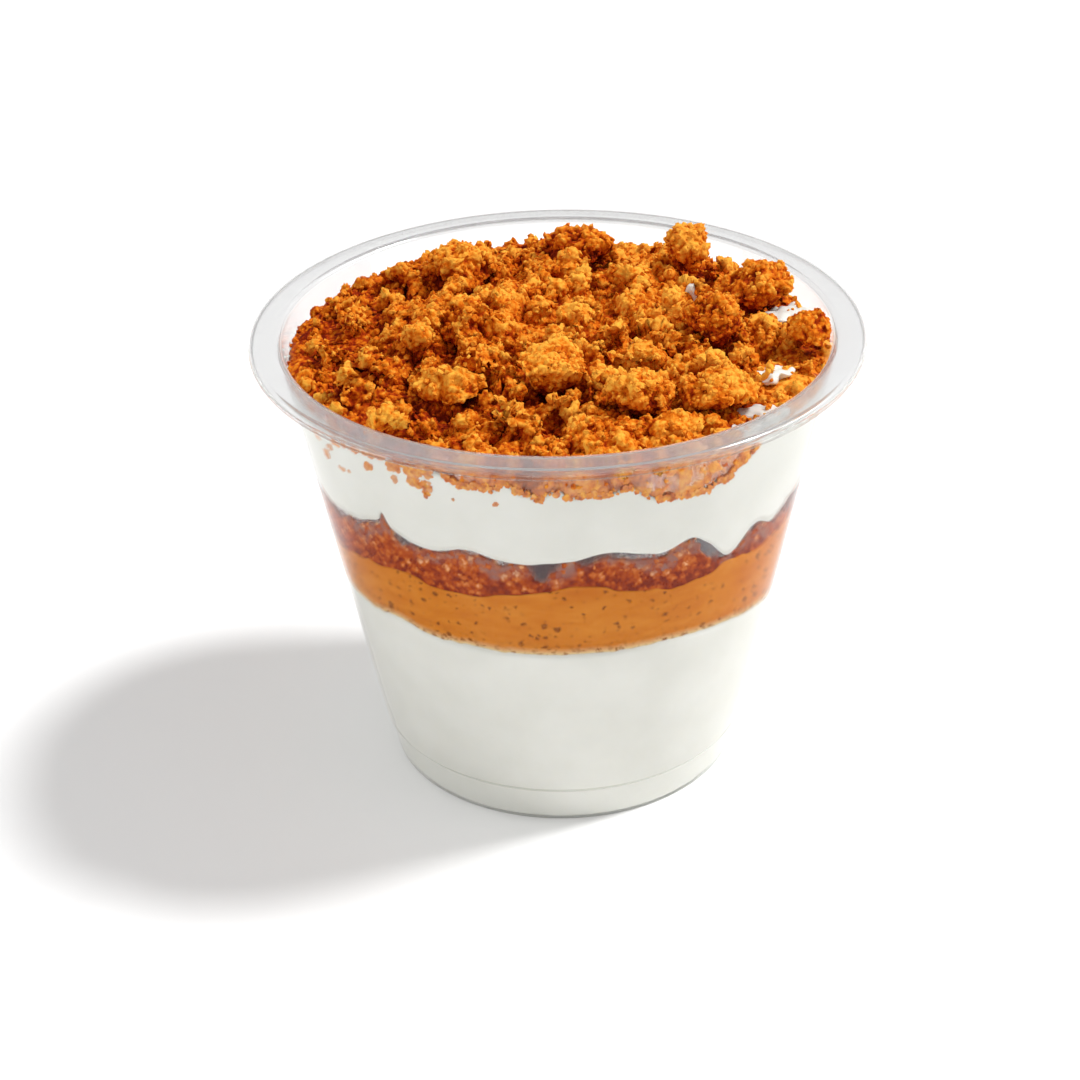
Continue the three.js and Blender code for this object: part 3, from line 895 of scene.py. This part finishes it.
def scattered(points, normals, sizes, detail, rng, sink, unevenness):
    """Broken bits on a surface: uneven balls, each turned its own way, as one joined mesh."""
    shape, corners = ball(detail)
    count = len(points)
    turns = rng.normal(size=(count, 4))
    turns /= np.linalg.norm(turns, axis=1)[:, None]
    w, x, y, z = turns.T
    spin = np.stack([
        np.stack([1 - 2 * (y * y + z * z), 2 * (x * y - z * w), 2 * (x * z + y * w)], axis=1),
        np.stack([2 * (x * y + z * w), 1 - 2 * (x * x + z * z), 2 * (y * z - x * w)], axis=1),
        np.stack([2 * (x * z - y * w), 2 * (y * z + x * w), 1 - 2 * (x * x + y * y)], axis=1),
    ], axis=1)
    stretch = rng.uniform(0.65, 1.0, size=(count, 1, 3))
    push = 1 + unevenness * rng.uniform(-1, 1, size=(count, len(shape), 1))
    bits = shape[None] * push * stretch * (sizes / 2)[:, None, None]
    bits = np.einsum("nij,nvj->nvi", spin, bits)
    middles = (points + normals * (sizes * (0.5 - sink))[:, None])[:, None, :]
    dents = soft_noise((bits + middles).reshape(-1, 3), DENT_SIZE, 170).reshape(count, -1, 1)
    bits = bits * (1 + DENT_DEPTH * dents) + middles
    triangles = corners[None] + (np.arange(count) * len(shape))[:, None, None]
    return bits.reshape(-1, 3), triangles.reshape(-1, 3)


def spots_on(vertices, triangles, count, rng, allowed):
    """Random places on the allowed triangles, even by area, with their normals and triangles."""
    corners = vertices[triangles]
    cross = np.cross(corners[:, 1] - corners[:, 0], corners[:, 2] - corners[:, 0])
    areas = np.linalg.norm(cross, axis=1)
    flat = cross / np.maximum(areas, 1e-9)[:, None]
    weights = areas * allowed(corners.mean(axis=1), flat)
    chosen = rng.choice(len(triangles), size=count, p=weights / weights.sum())
    shares = np.sort(rng.uniform(size=(count, 2)), axis=1)
    mix = np.stack([shares[:, 0], shares[:, 1] - shares[:, 0], 1 - shares[:, 1]], axis=1)
    return np.einsum("nk,nki->ni", mix, corners[chosen]), flat[chosen], chosen


def peak(distance):
    """A craggy grain's height over its cell, from the distance to its middle."""
    return np.clip(1 - distance**1.4, 0, 1)


def spread(values):
    """The values stretched so that nearly all lie between 0 and 1."""
    low, high = np.percentile(values, (3, 97))
    return np.clip((values - low) / (high - low), 0, 1)


def crumbled(vertices, normals, clump_height, calm, sink, seed):
    """Broken-biscuit relief: clumps, grains and gaps where a grain has dropped out.

    Gives the new points, how high each lies in the relief from 0 to 1, which is used to paint shade
    in the relief's hollows and light on its crests, and its grain's number.
    """
    wander = np.stack([soft_noise(vertices, 2.6, seed + axis) for axis in range(3)], axis=1)
    bent = vertices + 0.8 * wander
    clump, clump_number = grain_noise(bent, CLUMP_SIZE, seed + 10)
    coarse, number = grain_noise(bent, COARSE_GRAIN, seed + 20)
    fine, fine_number = grain_noise(bent, FINE_GRAIN, seed + 30)
    dropped = np.clip((0.22 - number) / 0.08, 0, 1) * peak(coarse)
    clumps = peak(clump) + 0.8 * clump_number - 1.05
    grains = peak(coarse) + 0.4 * number - 0.85 - 0.9 * dropped
    dust = peak(fine) + 0.35 * fine_number - 0.8
    rise = clump_height * clumps + COARSE_DEPTH * grains + FINE_DEPTH * dust
    # how high each point lies in the relief, used to paint shade in its hollows and light on its
    # crests
    crest_shade_and_tone = spread(0.5 * clumps + 0.9 * grains + 0.5 * dust)
    return vertices + normals * (calm * rise - sink)[:, None], crest_shade_and_tone, number


def inside_cup(vertices):
    """Presses whatever would pass the wall flat against it, and keeps tops under the solids'."""
    radius = np.linalg.norm(vertices[:, :2], axis=1)
    limit = np.where(vertices[:, 2] < BEND_HEIGHT, inner_wall(vertices[:, 2]), 1e9)
    scale = np.minimum(1.0, (limit + CRUMBS_INTO_WALL) / np.maximum(radius, 1e-6))
    kept = vertices * np.stack([scale, scale, np.ones(len(scale))], axis=1)
    over = np.maximum(kept[:, 2] - (TOP - TOP_BAND), 0)
    kept[:, 2] -= over - TOP_EASE * np.tanh(over / TOP_EASE)
    return kept


def grown_to_wall(vertices):
    """Carries the heap's side out to press on the wall, and down behind the edge of the cream."""
    near = np.clip((2.0 - from_wall(vertices)) / 1.2, 0, 1) * (vertices[:, 2] < BEND_HEIGHT)
    radius = np.linalg.norm(vertices[:, :2], axis=1)
    outward = vertices[:, :2] / np.maximum(radius, 1e-6)[:, None]
    degrees = np.degrees(np.arctan2(vertices[:, 0], -vertices[:, 1]))
    solid_edge = wave(TOP_CREAM_LEVEL, TOP_CREAM_WAVES, degrees)
    drop = np.maximum(solid_edge - crumb_edge(degrees), 0) + PRESSED_GROWTH
    grown = vertices.copy()
    grown[:, :2] += outward * (PRESSED_GROWTH * near)[:, None]
    grown[:, 2] -= drop * near * np.clip(1 - (vertices[:, 2] - solid_edge) / 4.0, 0, 1)
    return grown


def lay_of(skins):
    """Height of the crumbs over the cream on a square grid, blurred over a clump."""
    points = np.concatenate(skins)
    count = int(2 * RIM_RADIUS / LAY_CELL) + 1
    lay = np.zeros((count, count))
    np.maximum.at(lay, lay_cells(points, count), points[:, 2] - TOP_CREAM_LEVEL)
    steps = np.arange(-LAY_STEPS, LAY_STEPS + 1) * LAY_CELL / LAY_REACH
    weights = np.exp(-steps**2) / np.exp(-steps**2).sum()
    for _ in range(2):
        lay = np.apply_along_axis(np.convolve, 0, lay, weights, mode="same").T
    return lay


def lay_cells(points, count):
    cells = ((points[:, :2] + RIM_RADIUS) / LAY_CELL).astype(int)
    return tuple(np.clip(cells, 0, count - 1).T)


def clump_shading(points, lay):
    """Painted shade and light: from 0, darkest, deep between the clumps to 1, lightest, on their
    tops; the middle for what is on the wall.
    """
    above = points[:, 2] - TOP_CREAM_LEVEL - lay[lay_cells(points, len(lay))]
    pressed = np.clip(1.5 - from_wall(points), 0, 1) * (points[:, 2] < BEND_HEIGHT)
    return soft_step(above, LAY_SPAN) * (1 - pressed) + 0.55 * pressed


CHUNKS = sorted(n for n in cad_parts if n.startswith("biscuit_chunk_"))


def off_cream(points):
    """Whether each point is clear of the cream left showing."""
    apart = [
        np.linalg.norm(points - middle, axis=1) - across / 2 for middle, across, _ in CREAM_SHOWING
    ]
    return np.min(apart, axis=0) > CREAM_CLEARANCE


def heap_body():
    """The heap's skin, faces and marks: the solid, with lumps fused to it, then broken up.

    The relief dies down towards the wall, and the gaps never reach down into the cream.
    """
    rng = np.random.default_rng(5)
    vertices, triangles = node_solid("crumb_topping")
    middles = np.array([(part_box(n)[0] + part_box(n)[1]) / 2 for n in CHUNKS]) / MM
    spans = np.array([max(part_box(n)[1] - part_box(n)[0]) for n in CHUNKS]) / MM

    def open_top(points, flat):
        apart = np.linalg.norm(points[:, None] - middles[None], axis=2)
        clear = np.all(apart > 0.5 * spans, axis=1) & off_cream(points)
        reach = np.where(points[:, 1] < -8, LUMP_REACH_FRONT, LUMP_REACH)
        near = np.linalg.norm(points[:, :2], axis=1) < reach
        return clear * near * (flat[:, 2] > 0.1) * (points[:, 2] > CRUMBS_FROM)

    places, facing, _ = spots_on(vertices, triangles, LUMP_COUNT, rng, open_top)
    sizes = LUMP_SIZES[0] + (LUMP_SIZES[1] - LUMP_SIZES[0]) * rng.uniform(size=LUMP_COUNT) ** 1.6
    lumps, corners = scattered(places, facing, sizes, 2, rng, sink=0.62, unevenness=0.28)
    together = np.concatenate([vertices, lumps])
    faces = np.concatenate([triangles, corners + len(vertices)])
    skin, skin_faces, normals = remeshed(together, faces, HEAP_VOXEL)
    away = from_wall(skin) - CALM_WIDTH
    hidden = np.all(((normals[:, 2] < -0.3) & (away > 2.2))[skin_faces], axis=1)
    inner = np.clip(away / 5.0, 0.1, 1)
    calm = np.clip(0.4 + away / 2.0, 0.4, 1)
    floor = np.minimum(skin[:, 2], cream_height(skin) + 1.0 + 0.5 * soft_noise(skin, 2.0, 160))
    skin, crest_shade_and_tone, number = crumbled(skin, normals, CLUMP_DEPTH * inner, calm, 0.3, 100)
    top = (normals[:, 2] > 0) & (away > 0)
    skin[:, 2] = np.where(top, np.maximum(skin[:, 2], floor), skin[:, 2])
    # the painted shade in the relief is a little deeper next to the wall
    crest_shade_and_tone = crest_shade_and_tone * np.clip(0.9 + away / 10.0, 0.9, 1)
    skin = inside_cup(grown_to_wall(skin))
    _, patch_number = grain_noise(skin, 6.0, 140)
    wall = np.clip(0.4 - away, 0, 1) * (skin[:, 2] < BEND_HEIGHT)
    marks = {
        "crest_shade_and_tone": crest_shade_and_tone,
        # tone at random in patches and grains; the x term paints the right side, where the key
        # light falls, lighter
        "tone": 0.6 * patch_number + 0.4 * number + skin[:, 0] / 60 - 0.1,
        "film": wall * np.clip(0.4 + 0.25 * soft_noise(skin, 1.6, 150), 0, 1),
    }
    return trimmed(skin, skin_faces[~hidden], marks)


def chunk_body(index):
    vertices, triangles = node_solid(f"biscuit_chunk_{index + 1}")
    skin, faces, normals = remeshed(vertices, triangles, CHUNK_VOXEL)
    skin, crest_shade_and_tone, number = crumbled(skin, normals, *CHUNK_RELIEF, 200 + 50 * index)
    tone = 0.75 * CHUNK_TONES[index] + 0.25 * number
    return inside_cup(skin), faces, {"crest_shade_and_tone": crest_shade_and_tone, "tone": tone}


def crumb_pieces(crumb):
    """The heap and the larger pieces on it; their skins with tones, and the lay of the whole."""
    bodies = [heap_body(), *(chunk_body(index) for index in range(len(CHUNKS)))]
    lay = lay_of([skin for skin, _, _ in bodies])
    for index, (skin, faces, marks) in enumerate(bodies):
        # painted shade deep between the clumps, painted light on their tops
        marks["clump_shade"] = clump_shading(skin, lay)
        node = f"biscuit_chunk_{index}" if index else "crumb_topping"
        name = f"{node}_fine" if index else "crumb_heap"
        place(name, skin, [faces], crumb, [node], marks)
    return [(skin, faces, marks["tone"]) for skin, faces, marks in bodies], lay


def strewn_piece(name, crumb, skins, lay, count, sizes, detail, on_cream, seed):
    """Broken bits of one kind lying on every upward face, and on the cream a share of them."""
    rng = np.random.default_rng(seed)
    vertices, tones = (np.concatenate([skin[part] for skin in skins]) for part in (0, 2))
    starts = np.cumsum([0] + [len(skin[0]) for skin in skins[:-1]])
    triangles = np.concatenate([skin[1] + start for skin, start in zip(skins, starts)])

    def upward(points, flat):
        share = np.where(off_cream(points), 1.0, on_cream)
        return share * (flat[:, 2] > -0.1) * (points[:, 2] > CRUMBS_FROM)

    places, facing, under = spots_on(vertices, triangles, count, rng, upward)
    across = sizes[0] + (sizes[1] - sizes[0]) * rng.uniform(size=count) ** 1.7
    bits, corners = scattered(places, facing, across, detail, rng, sink=0.45, unevenness=0.36)
    bits = inside_cup(bits)
    each = len(bits) // count
    marks = {
        "tone": np.repeat(0.6 * tones[triangles[under, 0]] + rng.uniform(0.0, 0.6, count), each),
        # for loose bits a random tone takes the place of the crest shade
        "crest_shade_and_tone": np.repeat(rng.uniform(0.3, 0.9, count), each),
        # painted shade deep between the clumps, painted light on their tops
        "clump_shade": clump_shading(bits, lay),
    }
    piece = place(name, bits, [corners], crumb, (), marks)
    piece.data.polygons.foreach_set("use_smooth", np.full(len(corners), detail > 1))
    return piece


def smear_piece(crumb):
    """Thin crumbs pressed between the upper cream and the wall."""
    rng = np.random.default_rng(12)
    along = rng.uniform(*EDGE_SPAN, size=EDGE_GRAINS)
    degrees, films = [along], [np.full(EDGE_GRAINS, 0.25)]
    heights = [crumb_edge(along) + rng.uniform(-0.4, 0.4, size=EDGE_GRAINS)]
    for (start, low), (end, high), half, count, film in SMEARS:
        share, off = rng.uniform(size=count), rng.uniform(-1, 1, size=count)
        degrees.append(start + (end - start) * share)
        heights.append(low + (high - low) * share + half * off)
        films.append(film + 0.25 * off**2 + 0.25 * (2 * share - 1) ** 4)
    degrees, heights, films = (np.concatenate(part) for part in (degrees, heights, films))
    places = wall_place(degrees, heights, CREAM_LIP_INTO_WALL)
    facing = -places * (1, 1, 0) / np.linalg.norm(places[:, :2], axis=1)[:, None]
    sizes = SMEAR_SIZES[0] + SMEAR_SIZES[1] * rng.uniform(size=len(places)) ** 1.7
    grains, corners = scattered(places, facing, sizes, 2, rng, sink=0.5, unevenness=0.3)
    limit = inner_wall(grains[:, 2]) + SMEARS_INTO_WALL
    radius = np.linalg.norm(grains[:, :2], axis=1)
    grains[:, :2] *= np.minimum(1, limit / radius)[:, None]
    each = len(grains) // len(places)
    films = np.clip(films + rng.uniform(-0.12, 0.12, len(places)), 0, 0.9)
    marks = {
        # a middling crest shade and clump shade, the same for every grain
        "crest_shade_and_tone": np.full(len(grains), 0.6),
        "clump_shade": np.full(len(grains), 0.6),
        "tone": np.repeat(rng.uniform(0.2, 1.0, len(places)), each),
        "film": np.repeat(films, each),
    }
    piece = place("wall_crumbs", grains, [corners], crumb, (), marks)
    piece.data.polygons.foreach_set("use_smooth", np.zeros(len(corners), bool))
    return piece


def cream_showing_piece(cream):
    """Rough tops of cream standing up between the crumbs."""
    shape, corners = ball(4)
    spots = []
    for number, (middle, across, up) in enumerate(CREAM_SHOWING):
        spot = shape * (across / 2, across / 2, up / 2) + middle
        spot += shape * (0.3 * across * soft_noise(spot, 1.6, 60 + number))[:, None] * (1, 1, 0)
        rough = 0.5 * soft_noise(spot, 1.1, 70 + number)
        spot[:, 2] += rough + 0.25 * soft_noise(spot, 0.6, 80 + number)
        spots.append(spot)
    faces = [corners + len(shape) * number for number in range(len(spots))]
    vertices, faces = inside_cup(np.concatenate(spots)), np.concatenate(faces)
    place("cream_between_crumbs", vertices, [faces], cream)
    return vertices, faces, np.full(len(vertices), 0.5)


# ---- Studio ----

FLOOR_HALF = 3.0  # metres
SKY_STRENGTH = 0.48


def make_floor():
    """Matt white sweep."""
    material, tree, output = new_material("white_sweep_matt")
    body = add(tree, "ShaderNodeBsdfDiffuse", {"Color": linear("FBFBFB")})
    tree.links.new(body.outputs[0], output.inputs["Surface"])
    corners = [(x * FLOOR_HALF, y * FLOOR_HALF, 0) for x, y in ((-1, -1), (1, -1), (1, 1), (-1, 1))]
    mesh = make_mesh("floor", corners, [np.array([[0, 1, 2, 3]])])
    mesh.materials.append(material)
    floor = bpy.data.objects.new("floor", mesh)
    bpy.context.scene.collection.objects.link(floor)


# Name, where the light comes from, strength, spread in degrees
LIGHTS = [
    ("key", (0.75, 0.15, 1.0), 2.85, 12.0), ("fill", (-0.9, -0.2, 0.5), 0.92, 80.0),
    ("side", (0.95, -0.25, 0.12), 0.6, 50.0),
]


def make_studio():
    make_floor()
    world = bpy.data.worlds.new("studio")
    bpy.context.scene.world = world
    world.use_nodes = True
    background = world.node_tree.nodes["Background"]
    background.inputs["Color"].default_value = linear("FFFFFF")
    background.inputs["Strength"].default_value = SKY_STRENGTH
    for name, source, strength, spread_angle in LIGHTS:
        light = bpy.data.objects.new(name, bpy.data.lights.new(name, "SUN"))
        bpy.context.scene.collection.objects.link(light)
        light.data.energy = strength
        light.data.angle = math.radians(spread_angle)
        light.rotation_mode = "QUATERNION"
        light.rotation_quaternion = (-Vector(source)).to_track_quat("-Z", "Y")
    bpy.context.scene.view_settings.view_transform = "Standard"


# ---- The object ----

make_camera()
make_studio()
cup_piece()
cream = whipped_cream()
bottom_cream_piece(cream)
caramel_piece()
soaked_piece()
top_cream_piece(cream)
crumb = baked_crumb()
skins, lay = crumb_pieces(crumb)
skins.append(cream_showing_piece(cream))
strewn_piece(
    "loose_bits", crumb, skins[:1], lay, BIT_COUNT, BIT_SIZES, detail=3, on_cream=0.0, seed=9,
)
strewn_piece(
    "loose_grains", crumb, skins, lay, GRAIN_COUNT, GRAIN_SIZES, detail=1,
    on_cream=GRAINS_ON_CREAM, seed=8,
)
smear_piece(crumb)
